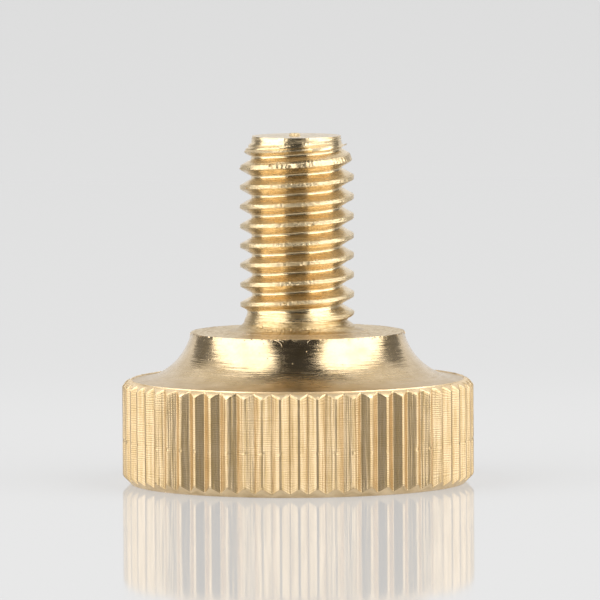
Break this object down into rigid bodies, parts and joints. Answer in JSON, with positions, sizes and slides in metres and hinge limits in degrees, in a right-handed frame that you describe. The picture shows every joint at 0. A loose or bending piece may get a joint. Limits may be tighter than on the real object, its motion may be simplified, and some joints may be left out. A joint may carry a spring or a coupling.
{
  "type": "thumb screw",
  "caption": "Thumb screw with a straight-knurled round head, a coved collar with a flat seat, and a short metric threaded shank with a tapered end.",
  "frame": {"origin": "centre of the head's flat face, which is the face it stands on", "axes": "+Z along the screw's axis from the head towards the end of the shank; +X and +Y each point at a crest of the knurl"},
  "size_m": [0.018, 0.018, 0.0179],
  "materials": {
    "turned_brass": "bare, as turned and knurled"
  },
  "bodies": {
    "root": {"thumb_screw": "turned_brass"}
  },
  "joints": []
}
